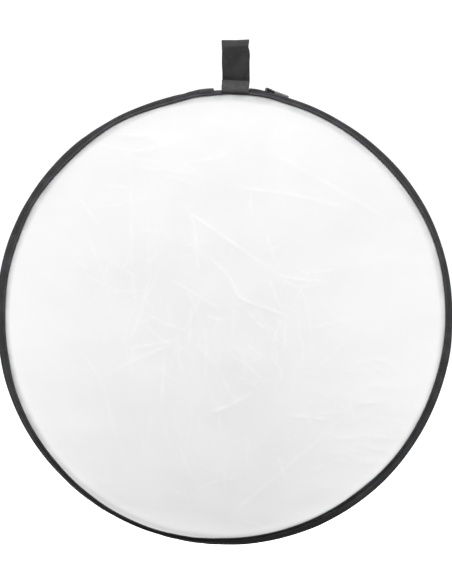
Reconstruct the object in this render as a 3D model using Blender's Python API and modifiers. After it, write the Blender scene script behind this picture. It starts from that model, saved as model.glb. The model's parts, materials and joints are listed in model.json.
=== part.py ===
"""Collapsible reflector disc, 600 mm across, with a zipped reversible cover.

The disc stands upright: +Z is up, -Y is the white front face, and the origin
is the middle of the disc on its mid-plane. Two fabric cover halves are joined
by a zip round the rim. They hold a translucent panel on a spring-steel hoop.

An angle round the rim is measured from the top, clockwise as seen from the
front, which is a positive turn about +Y. A section of the rim is drawn as
(radius, depth), where depth is the distance in front of the mid-plane.
"""
from math import cos, pi, radians, sin

import bmesh
import bpy

MM = 0.001

# Rim
RIM_RADIUS = 300 * MM                   # outermost point of the zip's coil
FACET = 5.0                             # degrees between a ring's corners
SEGMENTS = round(360 / FACET)
PANEL_RADIUS = 294 * MM                 # white and black faces, and their linings
RIBBON_INNER, RIBBON_OUTER = 290.6 * MM, 294.6 * MM
FABRIC = 0.3 * MM                       # thickness of a face or lining
TAPE = 0.4 * MM                         # thickness of ribbon, tape and casing
GAP = 0.3 * MM                          # clearance between layers that touch

# Depth of each layer of a cover half, inside face first
FACING_DEPTH = 2.9 * MM
LINING_DEPTH = FACING_DEPTH + TAPE + GAP
PANEL_DEPTH = LINING_DEPTH + FABRIC + GAP
TAPE_DEPTH = PANEL_DEPTH + FABRIC + GAP
RIBBON_DEPTH = TAPE_DEPTH + TAPE + GAP

# Spring hoop and the diffuser that it holds open
HOOP_RADIUS = 286.8 * MM
HOOP_THICKNESS, HOOP_WIDTH = 0.9 * MM, 4.0 * MM
DIFFUSER_RADIUS = 282 * MM
CASING_OUTER, CASING_INNER = 288.9 * MM, 277 * MM
CASING_DEPTH = FACING_DEPTH + TAPE      # half the casing's width
FLANGE_DEPTH = 0.45 * MM                # inner face of the casing's flanges
HOOP_JOIN = 180.0                       # the ferrule is at the bottom

# Zip: angles round the rim, in degrees
SEAM_START, SEAM_END = -5.4, 3.6
PATCH_START, PATCH_END = -8.75, -5.5
BOTTOM_STOP_START, BOTTOM_STOP_END = -9.4, -8.85
TOP_STOP_START, TOP_STOP_END = 4.3, 4.85
COIL_START, COIL_END = 5.0, 350.3
TAPE_START, TAPE_END = 3.9, 354.3
SLIDER_ANGLE = 8.2
TAPE_RADIUS = 297.8 * MM                # middle of the tape's thickness
COIL_INNER = 298.2 * MM
COIL_CLOSED, COIL_OPEN = 1.6 * MM, 3.3 * MM     # depth of a coil's middle
COIL_HALF_WIDTH = 1.4 * MM
MOUTH_START, MOUTH_END = 7.2, 8.0       # where the slider brings the coils together
MOUTH_DEPTH = 2.5 * MM
STOP_HALF_WIDTH = 3.2 * MM
BINDING_TOP = 298 * MM
PATCH_LIFT, PATCH_THICKNESS, PATCH_HALF_WIDTH = 0.4 * MM, 1.3 * MM, 4.4 * MM

# Slider and pull
SLIDER_LENGTH = 11 * MM
TOP_PLATE_RADIUS = 300.4 * MM
BOTTOM_PLATE_RADIUS = 295.8 * MM
PLATE = 0.9 * MM
CROWN_TOP = 306.5 * MM
CROWN_WIDTH = 2.2 * MM
PIVOT_OFFSET, PIVOT_RADIUS = -1.2 * MM, 304 * MM
PULL_LENGTH, PULL_WIDTH, PULL_THICKNESS = 29.4 * MM, 6.5 * MM, 1.4 * MM
PULL_TILT, PULL_ROLL = radians(7.6), radians(15)

# Hanging loop
LOOP_WIDTH = 35 * MM
WEBBING = 1.2 * MM
LOOP_TOP = 364.5 * MM
LOOP_HALF_DEPTH = 5.2 * MM
LOOP_PIVOT = 312.4 * MM
BASE_BOTTOM, BASE_TOP = 298.6 * MM, 310.6 * MM
BASE_HALF_DEPTH = 1.4 * MM
STITCH_THREAD, STITCH_LIFT = 0.8 * MM, 0.4 * MM     # width and thickness
STITCH_MARGIN = 2 * MM

FRONT, REAR = 1, -1


# ---------------------------------------------------------------- scene tools

def clear_scene():
    for obj in list(bpy.data.objects):
        bpy.data.objects.remove(obj, do_unlink=True)
    for collection in list(bpy.data.collections):
        bpy.data.collections.remove(collection)


def new_collection(name):
    collection = bpy.data.collections.new(name)
    bpy.context.scene.collection.children.link(collection)
    return collection


def material(name, color, roughness, metallic=0.0):
    mat = bpy.data.materials.new(name)
    mat.use_nodes = True
    shader = mat.node_tree.nodes["Principled BSDF"]
    shader.inputs["Base Color"].default_value = (*color, 1.0)
    shader.inputs["Roughness"].default_value = roughness
    shader.inputs["Metallic"].default_value = metallic
    mat.diffuse_color = (*color, 1.0)
    return mat


def place(obj, name, mat, collection):
    """Name an object, give it its material and put it in one collection."""
    obj.name = obj.data.name = name
    for old in list(obj.users_collection):
        old.objects.unlink(obj)
    collection.objects.link(obj)
    obj.data.materials.clear()
    obj.data.materials.append(mat)
    return obj


def as_guide(obj):
    """A cutter or a section: it shapes other objects and isn't a part."""
    for old in list(obj.users_collection):
        old.objects.unlink(obj)
    CUTTERS.objects.link(obj)
    obj.hide_render = True
    obj.display_type = "WIRE"
    return obj


def clockwise(points):
    """The same closed outline, running clockwise."""
    pairs = zip(points, points[1:] + points[:1])
    doubled_area = sum(x0 * y1 - x1 * y0 for (x0, y0), (x1, y1) in pairs)
    return points if doubled_area < 0 else points[::-1]


def poly_curve(name, outlines, closed, dimensions="2D"):
    curve = bpy.data.curves.new(name, "CURVE")
    curve.dimensions = dimensions
    for points in outlines:
        spline = curve.splines.new("POLY")
        spline.points.add(len(points) - 1)
        for target, point in zip(spline.points, points):
            target.co = (*point, 1) if len(point) == 3 else (*point, 0, 1)
        spline.use_cyclic_u = closed
    obj = bpy.data.objects.new(name, curve)
    bpy.context.scene.collection.objects.link(obj)
    return obj


def plate(name, outlines, thickness):
    """A flat outline, with any further outlines as holes, given a thickness."""
    obj = poly_curve(name, outlines, closed=True)
    obj.data.fill_mode = "BOTH"
    obj.data.extrude = thickness / 2
    return obj


def as_mesh(obj):
    """The curve's solid as a mesh object in the same place."""
    bpy.context.view_layer.update()
    evaluated = obj.evaluated_get(bpy.context.evaluated_depsgraph_get())
    mesh = bpy.data.meshes.new_from_object(evaluated)
    work = bmesh_from(mesh)
    bmesh.ops.remove_doubles(work, verts=work.verts, dist=1e-6)
    work.to_mesh(mesh)
    work.free()
    result = bpy.data.objects.new(obj.name, mesh)
    bpy.context.scene.collection.objects.link(result)
    result.matrix_world = obj.matrix_world
    bpy.data.objects.remove(obj, do_unlink=True)
    return result


def bmesh_from(mesh):
    work = bmesh.new()
    work.from_mesh(mesh)
    return work


def box(low, high):
    middle = [(a + b) / 2 for a, b in zip(low, high)]
    size = [b - a for a, b in zip(low, high)]
    bpy.ops.mesh.primitive_cube_add(size=1, location=middle, scale=size)
    return bpy.context.object


def join(base, others):
    """Union of solids that touch or cross, as one closed body."""
    for other in others:
        union = base.modifiers.new("Join", "BOOLEAN")
        union.operation = "UNION"
        union.object = as_guide(other)
    return base


# ----------------------------------------------------------------- rim shapes

def disc(name, radius, near, side, mat):
    """Round of fabric whose inner face is `near` from the mid-plane."""
    depth = side * (near + FABRIC / 2)
    bpy.ops.mesh.primitive_cylinder_add(vertices=SEGMENTS, radius=radius, depth=FABRIC,
                                        location=(0, -depth, 0), rotation=(pi / 2, 0, 0))
    return place(bpy.context.object, name, mat, PARTS)


def ring(name, section, side, mat):
    """Section of (radius, depth) points turned once round the disc's axis."""
    points = clockwise([(radius, side * depth) for radius, depth in section])
    count = len(points)
    mesh = bpy.data.meshes.new(name)
    mesh.from_pydata([(radius, 0, depth) for radius, depth in points],
                     [(i, (i + 1) % count) for i in range(count)], [])
    obj = bpy.data.objects.new(name, mesh)
    obj.rotation_euler.x = pi / 2
    screw = obj.modifiers.new("Turn", "SCREW")
    screw.axis = "Z"
    screw.steps = screw.render_steps = SEGMENTS
    screw.use_merge_vertices = True
    screw.merge_threshold = 1e-5
    return place(obj, name, mat, PARTS)


def arc(name, section, side, start, end, mat, bends=(), depth_at=lambda angle: 0.0):
    """Section swept round part of the rim.

    The path's corners are the rings' corners, the two ends and any `bends`,
    less those that come too close to an end. `depth_at` moves the section
    forwards as a function of the angle.
    """
    too_close = 0.1
    corners = [i * FACET for i in range(-SEGMENTS, 2 * SEGMENTS)]
    angles = [a for a in sorted({*corners, *bends}) if start + too_close < a < end - too_close]
    angles = [start, *angles, end]
    base = section[0][0]
    path_points = [(base * sin(radians(a)), base * cos(radians(a)), side * depth_at(a))
                   for a in reversed(angles)]
    profile = clockwise([(radius - base, side * depth) for radius, depth in section])
    path = poly_curve(name, [path_points], closed=False, dimensions="3D")
    path.rotation_euler.x = pi / 2
    path.data.twist_mode = "Z_UP"
    path.data.bevel_mode = "OBJECT"
    path.data.bevel_object = as_guide(poly_curve(name + "_section", [profile], closed=True))
    path.data.use_fill_caps = True
    return place(path, name, mat, PARTS)


def rectangle(inner, outer, near, far):
    return [(inner, near), (outer, near), (outer, far), (inner, far)]


# -------------------------------------------------------------- inner diffuser

def spring_hoop():
    half = HOOP_THICKNESS / 2
    section = rectangle(HOOP_RADIUS - half, HOOP_RADIUS + half,
                        -HOOP_WIDTH / 2, HOOP_WIDTH / 2)
    ring("spring_hoop", section, FRONT, MATS["spring_steel"])


def hoop_ferrule():
    """Crimped sleeve over the hoop's two ends, open along its inner side."""
    inner = HOOP_RADIUS - HOOP_THICKNESS / 2 - GAP
    outer = HOOP_RADIUS + HOOP_THICKNESS / 2 + GAP
    near = HOOP_WIDTH / 2 + GAP
    wall = 0.3 * MM
    slit = 0.5 * MM
    section = [(inner, slit), (inner, near), (outer, near), (outer, -near),
               (inner, -near), (inner, -slit), (inner - wall, -slit),
               (inner - wall, -near - wall), (outer + wall, -near - wall),
               (outer + wall, near + wall), (inner - wall, near + wall),
               (inner - wall, slit)]
    half_angle = 3.0
    arc("hoop_ferrule", section, FRONT, HOOP_JOIN - half_angle, HOOP_JOIN + half_angle,
        MATS["ferrule"])


def hoop_casing():
    """Folded tape round the hoop; its two flanges clamp the diffuser."""
    wall = 0.35 * MM
    side_end = 284.5 * MM
    flange_start = 283.2 * MM
    front = [(CASING_INNER, FLANGE_DEPTH), (flange_start, FLANGE_DEPTH),
             (side_end, CASING_DEPTH - wall), (CASING_OUTER - wall, CASING_DEPTH - wall)]
    outside = [(CASING_OUTER, CASING_DEPTH), (side_end - wall, CASING_DEPTH),
               (flange_start - wall, FLANGE_DEPTH + wall),
               (CASING_INNER, FLANGE_DEPTH + wall)]
    section = front + [(r, -d) for r, d in reversed(front)]
    section += [(r, -d) for r, d in reversed(outside)] + outside
    ring("hoop_casing", section, FRONT, MATS["black_ribbon"])


def casing_end_patch():
    near = FLANGE_DEPTH + 0.35 * MM + GAP
    section = rectangle(CASING_INNER + 0.5 * MM, DIFFUSER_RADIUS, near, near + FABRIC)
    half_angle = 2.4
    arc("casing_end_patch", section, FRONT, HOOP_JOIN - half_angle, HOOP_JOIN + half_angle,
        MATS["black_ribbon"])


def diffuser_panel():
    disc("diffuser_panel", DIFFUSER_RADIUS, -FABRIC / 2, FRONT, MATS["diffuser"])


# --------------------------------------------------------------------- covers

def cover_half(half, side, panel, panel_mat, lining, lining_mat):
    """One cover half: face, lining, two ribbons, zip tape, coil and top stop."""
    disc(panel, PANEL_RADIUS, PANEL_DEPTH, side, panel_mat)
    disc(lining, PANEL_RADIUS, LINING_DEPTH, side, lining_mat)
    ring(half + "_facing_ribbon",
         rectangle(RIBBON_INNER, RIBBON_OUTER, FACING_DEPTH, FACING_DEPTH + TAPE),
         side, MATS["black_ribbon"])
    ring(half + "_outer_ribbon",
         rectangle(RIBBON_INNER, RIBBON_OUTER, RIBBON_DEPTH, RIBBON_DEPTH + TAPE),
         side, MATS["black_ribbon"])
    zip_tape(half + "_zip_tape", side)
    zip_coil(half + "_zip_coil", side)
    top_stop(half + "_top_stop", side)


def zip_tape(name, side):
    """The tape lies on the face and turns over the rim's edge to the coil."""
    outer = TAPE_RADIUS + TAPE / 2
    near, far = TAPE_DEPTH, TAPE_DEPTH + TAPE
    free_edge = 0.8 * MM
    corner = 4.0 * MM
    section = [(outer, free_edge), (outer, corner), (outer - 0.5 * MM, far - 0.2 * MM),
               (outer - 1.5 * MM, far), (RIBBON_INNER + 0.8 * MM, far),
               (RIBBON_INNER + 0.8 * MM, near), (outer - 1.8 * MM, near),
               (outer - 0.9 * MM, near - 0.2 * MM), (outer - TAPE, corner - 0.1 * MM),
               (outer - TAPE, free_edge)]
    arc(name, section, side, TAPE_START, TAPE_END, MATS["zip_tape"])


def coil_depth(angle):
    """The coils part towards the top stops, in the slider's mouth."""
    if angle >= MOUTH_END:
        return COIL_CLOSED
    if angle <= MOUTH_START:
        spread = (MOUTH_START - angle) / (MOUTH_START - COIL_START)
        return MOUTH_DEPTH + spread * (COIL_OPEN - MOUTH_DEPTH)
    spread = (MOUTH_END - angle) / (MOUTH_END - MOUTH_START)
    return COIL_CLOSED + spread * (MOUTH_DEPTH - COIL_CLOSED)


def zip_coil(name, side):
    half = COIL_HALF_WIDTH
    section = [(COIL_INNER, -half), (RIM_RADIUS, -half), (RIM_RADIUS, half - 1.0 * MM),
               (RIM_RADIUS - 0.8 * MM, half), (COIL_INNER, half)]
    halfway = (COIL_START + MOUTH_START) / 2
    arc(name, section, side, COIL_START, COIL_END, MATS["zip_coil"],
        bends=(halfway, MOUTH_START, MOUTH_END), depth_at=coil_depth)


def top_stop(name, side):
    section = rectangle(COIL_INNER, RIM_RADIUS + 0.4 * MM,
                        COIL_OPEN - COIL_HALF_WIDTH, COIL_OPEN + COIL_HALF_WIDTH)
    arc(name, section, side, TOP_STOP_START, TOP_STOP_END, MATS["zip_stop"])


def bottom_stop():
    section = rectangle(COIL_INNER, RIM_RADIUS + 0.3 * MM, -STOP_HALF_WIDTH, STOP_HALF_WIDTH)
    arc("zip_bottom_stop", section, FRONT, BOTTOM_STOP_START, BOTTOM_STOP_END,
        MATS["zip_stop"])


def zip_start_patch():
    """Folded tab of webbing over the end of the zip."""
    low = BINDING_TOP + PATCH_LIFT
    section = rectangle(low, low + PATCH_THICKNESS, -PATCH_HALF_WIDTH, PATCH_HALF_WIDTH)
    arc("zip_start_patch", section, FRONT, PATCH_START, PATCH_END, MATS["webbing"])


def seam_binding():
    """Shallow channel over the short seam that joins the two cover halves."""
    top = BINDING_TOP
    half = [(top - 1.6 * MM, 4.2 * MM), (top - 0.9 * MM, 4.0 * MM), (top - 0.4 * MM, 3.6 * MM)]
    outside = [(top, 3.8 * MM), (top - 0.4 * MM, 4.4 * MM), (top - 1.6 * MM, 4.6 * MM)]
    section = half + [(r, -d) for r, d in reversed(half)]
    section += [(r, -d) for r, d in reversed(outside)] + outside
    arc("seam_binding", section, FRONT, SEAM_START, SEAM_END, MATS["black_ribbon"])


# --------------------------------------------------------------------- slider

def slider_plate(name, radius, wide_half, narrow_half):
    """Plan of a slider plate, wide at the mouth and rounded at both ends."""
    end = SLIDER_LENGTH / 2
    corner = 1.2 * MM
    upper = [(-end, wide_half - corner), (-end + corner * 0.3, wide_half - corner * 0.3),
             (-end + corner, wide_half), (-1.5 * MM, wide_half),
             (1.5 * MM, narrow_half), (end - corner, narrow_half),
             (end - corner * 0.3, narrow_half - corner * 0.3), (end, narrow_half - corner)]
    outline = upper + [(x, -y) for x, y in reversed(upper)]
    obj = plate(name, [clockwise(outline)], PLATE)
    obj.location.z = radius + PLATE / 2
    return as_mesh(obj)


def slider_crown():
    """Arch over the top plate that the pull hangs on."""
    foot = TOP_PLATE_RADIUS + PLATE / 2
    bar = 1.0 * MM
    outer = [(-5.0 * MM, foot), (-4.4 * MM, CROWN_TOP - 1.5 * MM),
             (-3.4 * MM, CROWN_TOP - 0.3 * MM), (-2.2 * MM, CROWN_TOP),
             (-0.4 * MM, CROWN_TOP - 0.25 * MM),
             (1.3 * MM, CROWN_TOP - 1.4 * MM), (3.2 * MM, foot)]
    hole = [(-3.4 * MM, foot + 1.1 * MM), (-3.3 * MM, CROWN_TOP - bar - 0.7 * MM),
            (-2.6 * MM, CROWN_TOP - bar), (-0.4 * MM, CROWN_TOP - bar),
            (0.4 * MM, CROWN_TOP - bar - 0.6 * MM), (1.0 * MM, foot + 1.1 * MM)]
    obj = plate("crown", [outer, hole], CROWN_WIDTH)
    obj.rotation_euler.x = pi / 2
    return as_mesh(obj)


def slider_body():
    top = slider_plate("zip_slider_body", TOP_PLATE_RADIUS, 4.9 * MM, 4.3 * MM)
    bottom = slider_plate("bottom_plate", BOTTOM_PLATE_RADIUS, 4.0 * MM, 3.6 * MM)
    post = box((-5.2 * MM, -0.5 * MM, BOTTOM_PLATE_RADIUS + PLATE / 2),
               (-3.0 * MM, 0.5 * MM, TOP_PLATE_RADIUS + PLATE / 2))
    flanges = [box((-1.2 * MM, side * 3.9 * MM - 0.35 * MM, TOP_PLATE_RADIUS - 2.1 * MM),
                   (4.4 * MM, side * 3.9 * MM + 0.35 * MM, TOP_PLATE_RADIUS + PLATE / 2))
               for side in (FRONT, REAR)]
    return join(top, [bottom, post, *flanges, slider_crown()])


def assemble_slider():
    """The slider's origin is the disc's axis, which it travels round."""
    body = place(slider_body(), "zip_slider_body", MATS["slider"], PARTS)
    operands = [modifier.object for modifier in body.modifiers]
    carrier = bpy.data.objects.new("slider_travel", None)
    PARTS.objects.link(carrier)
    for obj in (body, *operands):
        obj.parent = carrier
    pull = slider_pull()
    pull.parent = carrier
    carrier.rotation_euler.y = radians(SLIDER_ANGLE)


def slider_pull():
    """Flat tab with an eye at one end; its origin is the crown's bar."""
    half = PULL_WIDTH / 2
    back, eye_start, eye_end = -0.7 * MM, 0.7 * MM, 5.2 * MM
    arm = 1.25 * MM
    tip = PULL_LENGTH - half
    round_end = [(tip + half * sin(radians(a)), half * cos(radians(a)))
                 for a in range(0, 181, 30)]
    outline = [(back, half - 0.4 * MM), (back + 0.4 * MM, half), *round_end,
               (back + 0.4 * MM, -half), (back, -half + 0.4 * MM)]
    eye_half = half - arm
    eye = [(eye_start, -eye_half), (eye_start, eye_half), (eye_end, eye_half),
           (eye_end, -eye_half)]
    pull = plate("zip_pull_tab", [outline, eye], PULL_THICKNESS)
    pull.location = (PIVOT_OFFSET, 0, PIVOT_RADIUS)
    pull.rotation_euler = (PULL_ROLL, PULL_TILT, 0)
    return place(pull, "zip_pull_tab", MATS["pull"], PARTS)


# --------------------------------------------------------------- hanging loop

def loop_side(inset):
    """One leg and half the fold of the loop, as (depth, height above the pivot)."""
    full = LOOP_HALF_DEPTH - inset
    top = LOOP_TOP - LOOP_PIVOT - inset
    leg = [(full * 0.42, 9 * MM), (full * 0.78, 18 * MM), (full, 30 * MM), (full, top - 7 * MM)]
    return leg + [(full * 0.86, top - 3 * MM), (full * 0.5, top - 0.8 * MM), (0.0, top)]


def handle_loop():
    """Free part of the webbing loop; its origin is where the webbing bends."""
    foot = [(0.0, -1.4 * MM), (1.1 * MM, -0.6 * MM), (BASE_HALF_DEPTH, 0.4 * MM)]
    crotch = [(0.0, 2 * WEBBING)]
    halves = [foot + loop_side(0.0), crotch + loop_side(WEBBING)]
    outlines = [half + [(-x, y) for x, y in reversed(half[1:-1])] for half in halves]
    loop = plate("handle_loop", outlines, LOOP_WIDTH)
    loop.location.z = LOOP_PIVOT
    loop.rotation_euler = (pi / 2, 0, pi / 2)
    place(loop, "handle_loop", MATS["webbing"], PARTS)


def loop_base():
    """The loop's two ends sewn flat together, standing on the seam."""
    base = box((-LOOP_WIDTH / 2, -BASE_HALF_DEPTH, BASE_BOTTOM),
               (LOOP_WIDTH / 2, BASE_HALF_DEPTH, BASE_TOP))
    place(base, "loop_base", MATS["webbing"], PARTS)
    for side, name in ((FRONT, "loop_stitching_front"), (REAR, "loop_stitching_rear")):
        box_stitch(name, side)


def box_stitch(name, side):
    """Raised rectangle of thread on one face of the loop's base."""
    half_width = LOOP_WIDTH / 2 - STITCH_MARGIN
    low, high = BASE_BOTTOM + 1.2 * MM, BASE_TOP - 1.0 * MM

    def frame(inset):
        x, bottom, top = half_width - inset, low + inset, high - inset
        return [(-x, bottom), (-x, top), (x, top), (x, bottom)]

    stitch = plate(name, [frame(0.0), frame(STITCH_THREAD)], STITCH_LIFT)
    stitch.rotation_euler.x = pi / 2
    stitch.location.y = -side * (BASE_HALF_DEPTH + GAP + STITCH_LIFT / 2)
    place(stitch, name, MATS["thread"], PARTS)


# ---------------------------------------------------------------------- build

def materials():
    return {
        "white_fabric": material("white_fabric", (0.85, 0.86, 0.87), 0.75),
        "black_fabric": material("black_fabric", (0.015, 0.015, 0.016), 0.8),
        "silver_lining": material("silver_lining", (0.7, 0.7, 0.72), 0.35, 0.9),
        "gold_lining": material("gold_lining", (0.75, 0.52, 0.2), 0.35, 0.9),
        "diffuser": material("diffuser_fabric", (0.88, 0.88, 0.86), 0.7),
        "black_ribbon": material("black_ribbon", (0.03, 0.03, 0.033), 0.7),
        "zip_tape": material("zip_tape_fabric", (0.04, 0.04, 0.045), 0.8),
        "zip_coil": material("zip_coil_nylon", (0.02, 0.02, 0.022), 0.4),
        "zip_stop": material("zip_stop_metal", (0.05, 0.05, 0.05), 0.4, 0.8),
        "webbing": material("webbing_black", (0.025, 0.025, 0.028), 0.75),
        "thread": material("black_thread", (0.05, 0.05, 0.055), 0.7),
        "spring_steel": material("spring_steel_blued", (0.35, 0.36, 0.38), 0.35, 1.0),
        "ferrule": material("ferrule_metal", (0.6, 0.6, 0.6), 0.4, 1.0),
        "slider": material("slider_black_enamel", (0.03, 0.03, 0.03), 0.35, 0.3),
        "pull": material("pull_grey_metal", (0.55, 0.56, 0.58), 0.35, 0.8),
    }


clear_scene()
PARTS = new_collection("collapsible_reflector_disc")
CUTTERS = new_collection("sections_and_cutters")
MATS = materials()

spring_hoop()
hoop_ferrule()
hoop_casing()
casing_end_patch()
diffuser_panel()
cover_half("front", FRONT, "front_white_panel", MATS["white_fabric"],
           "front_silver_lining", MATS["silver_lining"])
cover_half("rear", REAR, "rear_black_panel", MATS["black_fabric"],
           "rear_gold_lining", MATS["gold_lining"])
bottom_stop()
zip_start_patch()
seam_binding()
assemble_slider()
handle_loop()
loop_base()
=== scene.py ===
"""Looks of the collapsible reflector disc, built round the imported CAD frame.

+Z is up and -Y is the white front face. An angle round the rim is measured
from the top, clockwise as seen from the front. Sections of the rim are
(radius, depth) pairs, where depth is the distance from the mid-plane.
"""
import json
import math

import bmesh
import bpy
import numpy as np
from mathutils import Matrix, Vector
from mathutils.geometry import delaunay_2d_cdt


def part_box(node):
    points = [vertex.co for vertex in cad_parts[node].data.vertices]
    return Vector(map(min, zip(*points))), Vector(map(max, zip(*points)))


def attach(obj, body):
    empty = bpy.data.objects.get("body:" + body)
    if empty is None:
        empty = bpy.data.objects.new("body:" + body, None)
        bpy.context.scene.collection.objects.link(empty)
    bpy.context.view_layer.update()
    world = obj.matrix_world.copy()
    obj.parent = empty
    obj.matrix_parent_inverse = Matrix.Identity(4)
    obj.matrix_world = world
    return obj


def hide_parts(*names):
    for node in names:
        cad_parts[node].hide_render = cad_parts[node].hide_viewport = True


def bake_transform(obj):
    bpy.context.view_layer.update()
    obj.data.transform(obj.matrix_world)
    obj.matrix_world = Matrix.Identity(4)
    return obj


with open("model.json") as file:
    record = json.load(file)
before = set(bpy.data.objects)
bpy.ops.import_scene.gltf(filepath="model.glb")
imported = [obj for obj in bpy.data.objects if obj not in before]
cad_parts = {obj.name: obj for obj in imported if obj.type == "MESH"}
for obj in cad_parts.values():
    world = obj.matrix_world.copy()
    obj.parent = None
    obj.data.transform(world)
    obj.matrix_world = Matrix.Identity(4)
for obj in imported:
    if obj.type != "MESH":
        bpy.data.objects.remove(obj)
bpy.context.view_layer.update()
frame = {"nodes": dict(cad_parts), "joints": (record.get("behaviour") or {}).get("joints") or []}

MM = 0.001
FRONT, REAR = -1, 1
KEY_POWER, SIDE_POWER, REAR_POWER = 66, 10, 34
SKY_BELOW, SKY_ABOVE, WHITE_BEHIND = 0.03, 0.85, 1.1
CAMERA_ROLL = math.radians(2.75)

# ---- places from the frame
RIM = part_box("rear_zip_coil")[1].x                   # outside of the zip's coil
RIBBON_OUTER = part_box("front_outer_ribbon")[1].x
PANEL_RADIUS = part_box("front_white_panel")[1].x
HOOP_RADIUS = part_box("spring_hoop")[1].x - 0.45 * MM
CASING_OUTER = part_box("hoop_casing")[1].x
CASING_INNER = CASING_OUTER - 11.9 * MM
CASING_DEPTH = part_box("hoop_casing")[1].y
DIFFUSER_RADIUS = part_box("diffuser_panel")[1].x
PANEL_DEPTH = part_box("rear_black_panel")[1].y        # outer face of a cover's panel
LINING_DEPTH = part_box("rear_gold_lining")[0].y       # inner face of its lining
FACING_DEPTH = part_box("rear_facing_ribbon")[0].y
TAPE_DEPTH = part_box("rear_zip_tape")[1].y
RIBBON_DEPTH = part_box("rear_outer_ribbon")[1].y
LOOP_LOW, LOOP_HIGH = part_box("handle_loop")
BASE_LOW, BASE_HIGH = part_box("loop_base")
FRONT_BASE_END = BASE_LOW.z - 4.2 * MM               # where the base ends on the rim's face
JOINTS = {joint["name"]: joint for joint in frame["joints"]}
LOOP_VISIBLE_WIDTH = LOOP_HIGH.x - LOOP_LOW.x + 1.2 * MM      # with its soft selvages
WEBBING = 1.2 * MM
LEAN = math.radians(3.6)                             # of the loop, away from the radius
LOOP_PIVOT = Vector(JOINTS["loop_swing"]["pos_m"])
SLIDER_ANGLE = 8.2                                   # where the slider stands, round the rim
TAPE_START, TAPE_END = 3.4, 354.3
COIL_START, COIL_END = 5.0, 350.3


# ---- camera and stage

def placed(name, data):
    """New object in the scene for some data."""
    obj = bpy.data.objects.new(name, data)
    bpy.context.scene.collection.objects.link(obj)
    return obj


def make_camera():
    """Straight on, rolled so that the loop stands a little right of the top."""
    distance, view_height = 3.0, 0.768
    right = Vector((math.cos(CAMERA_ROLL), 0, math.sin(CAMERA_ROLL)))
    up = Vector((-math.sin(CAMERA_ROLL), 0, math.cos(CAMERA_ROLL)))
    back = Vector((0, -1, 0))
    middle = right * 1.8 * MM + up * 32.6 * MM
    data = bpy.data.cameras.new("camera")
    data.sensor_width = 36.0
    data.lens = 36.0 * distance / view_height
    camera = placed("camera", data)
    turn = Matrix((right, up, back)).transposed().to_4x4()
    camera.matrix_world = Matrix.Translation(middle + back * distance) @ turn
    bpy.context.scene.camera = camera


def area_light(name, place, aim, size, power):
    data = bpy.data.lights.new(name, "AREA")
    data.shape = "RECTANGLE"
    data.size, data.size_y = size
    data.energy = power
    light = placed(name, data)
    light.location = place
    light.rotation_euler = (Vector(aim) - Vector(place)).to_track_quat("-Z", "Y").to_euler()


def make_stage():
    bpy.ops.mesh.primitive_plane_add(size=30, location=(0, 0, -RIM - 0.15))
    floor = bpy.context.object
    floor.name = "floor"
    floor.visible_diffuse = floor.visible_glossy = False
    mat, graph = new_material("floor_white", (0.9, 0.9, 0.9), 0.9)
    set_inputs(graph.shader, {"Emission Color": (1, 1, 1, 1), "Emission Strength": 0.75})
    floor.data.materials.append(mat)
    light_the_world()
    area_light("key_top", (0, -1.5, 2.4), (0, 0, 0.1), (2.4, 1.2), KEY_POWER)
    area_light("side_left", (-1.3, -0.9, 0.6), (-0.1, 0, 0), (0.6, 1.2), SIDE_POWER)
    area_light("side_right", (1.3, -0.9, 0.6), (0.1, 0, 0), (0.6, 1.2), SIDE_POWER)
    area_light("rear_fill", (0, 2.6, 1.6), (0, 0, 0), (2.4, 1.4), REAR_POWER)
    bpy.context.scene.view_settings.view_transform = "Standard"


def light_the_world():
    """White to the camera; for lighting, bright overhead and dim underneath."""
    world = bpy.data.worlds.new("studio")
    bpy.context.scene.world = world
    world.use_nodes = True
    graph = Graph(world.node_tree)
    height = graph.split(graph.coordinates("Generated"))["Z"]
    bright = graph.remap(height, -0.4, 0.9, SKY_BELOW, SKY_ABOVE)
    seen = graph.node("Mix")
    graph.link(graph.node("LightPath").outputs["Is Camera Ray"], seen.inputs["Factor"])
    graph.link(bright, seen.inputs["A"])
    seen.inputs["B"].default_value = WHITE_BEHIND
    background = world.node_tree.nodes["Background"]
    graph.link(seen.outputs["Result"], background.inputs["Strength"])
    background.inputs["Color"].default_value = (1, 1, 1, 1)


# ---- materials

def tinted(color, factor):
    return tuple(c * factor for c in color)


def set_inputs(node, values):
    for key, value in values.items():
        node.inputs[key].default_value = value


def new_material(name, color, roughness, metallic=0.0, specular=0.5, sheen=0.0, sheen_roughness=0.5):
    """Material with its main settings, and the graph of its nodes."""
    mat = bpy.data.materials.new(name)
    mat.use_nodes = True
    graph = Graph(mat.node_tree)
    set_inputs(graph.shader, {"Base Color": (*color, 1), "Roughness": roughness, "Metallic": metallic,
                              "Specular IOR Level": specular, "Sheen Weight": sheen,
                              "Sheen Roughness": sheen_roughness})
    return mat, graph


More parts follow.
